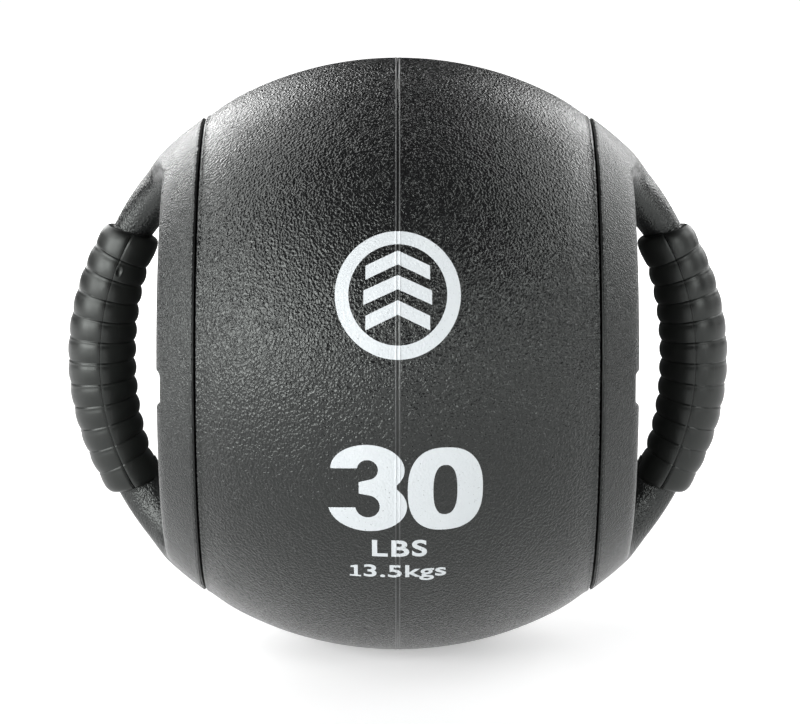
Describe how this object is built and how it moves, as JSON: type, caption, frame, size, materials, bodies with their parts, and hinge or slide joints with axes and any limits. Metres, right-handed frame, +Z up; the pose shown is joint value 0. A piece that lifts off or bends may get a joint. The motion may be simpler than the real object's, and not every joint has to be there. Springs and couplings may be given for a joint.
{
  "type": "dual-handle medicine ball",
  "caption": "Black textured rubber medicine ball with a ribbed grip handle bridging a finger dish on each side.",
  "frame": {"origin": "centre of the ball, midway between the handles", "axes": "+X from handle to handle, -Y towards the printed front, +Z up along both grips"},
  "size_m": [0.2838, 0.254, 0.254],
  "materials": {
    "ball_rubber": "matte",
    "cap_rubber": "matte",
    "grip_rubber": "satin",
    "bar_steel": "satin",
    "plate_steel": "satin",
    "zinc_steel": "gloss",
    "bladder_rubber": "matte",
    "dense_filling": "matte",
    "plug_rubber": "satin"
  },
  "bodies": {
    "root": {"cover_left": "ball_rubber", "cover_right": "ball_rubber", "side_cap_left": "cap_rubber", "side_cap_right": "cap_rubber", "grip_left": "grip_rubber", "grip_right": "grip_rubber", "handle_core_left": "bar_steel", "handle_core_right": "bar_steel", "anchor_plate_left": "plate_steel", "anchor_plate_right": "plate_steel", "anchor_screw_left_upper": "zinc_steel", "anchor_screw_left_lower": "zinc_steel", "anchor_screw_right_upper": "zinc_steel", "anchor_screw_right_lower": "zinc_steel", "washer_left_upper": "zinc_steel", "washer_left_lower": "zinc_steel", "washer_right_upper": "zinc_steel", "washer_right_lower": "zinc_steel", "bladder": "bladder_rubber", "ballast_fill": "dense_filling", "filler_plug": "plug_rubber"}
  },
  "joints": []
}
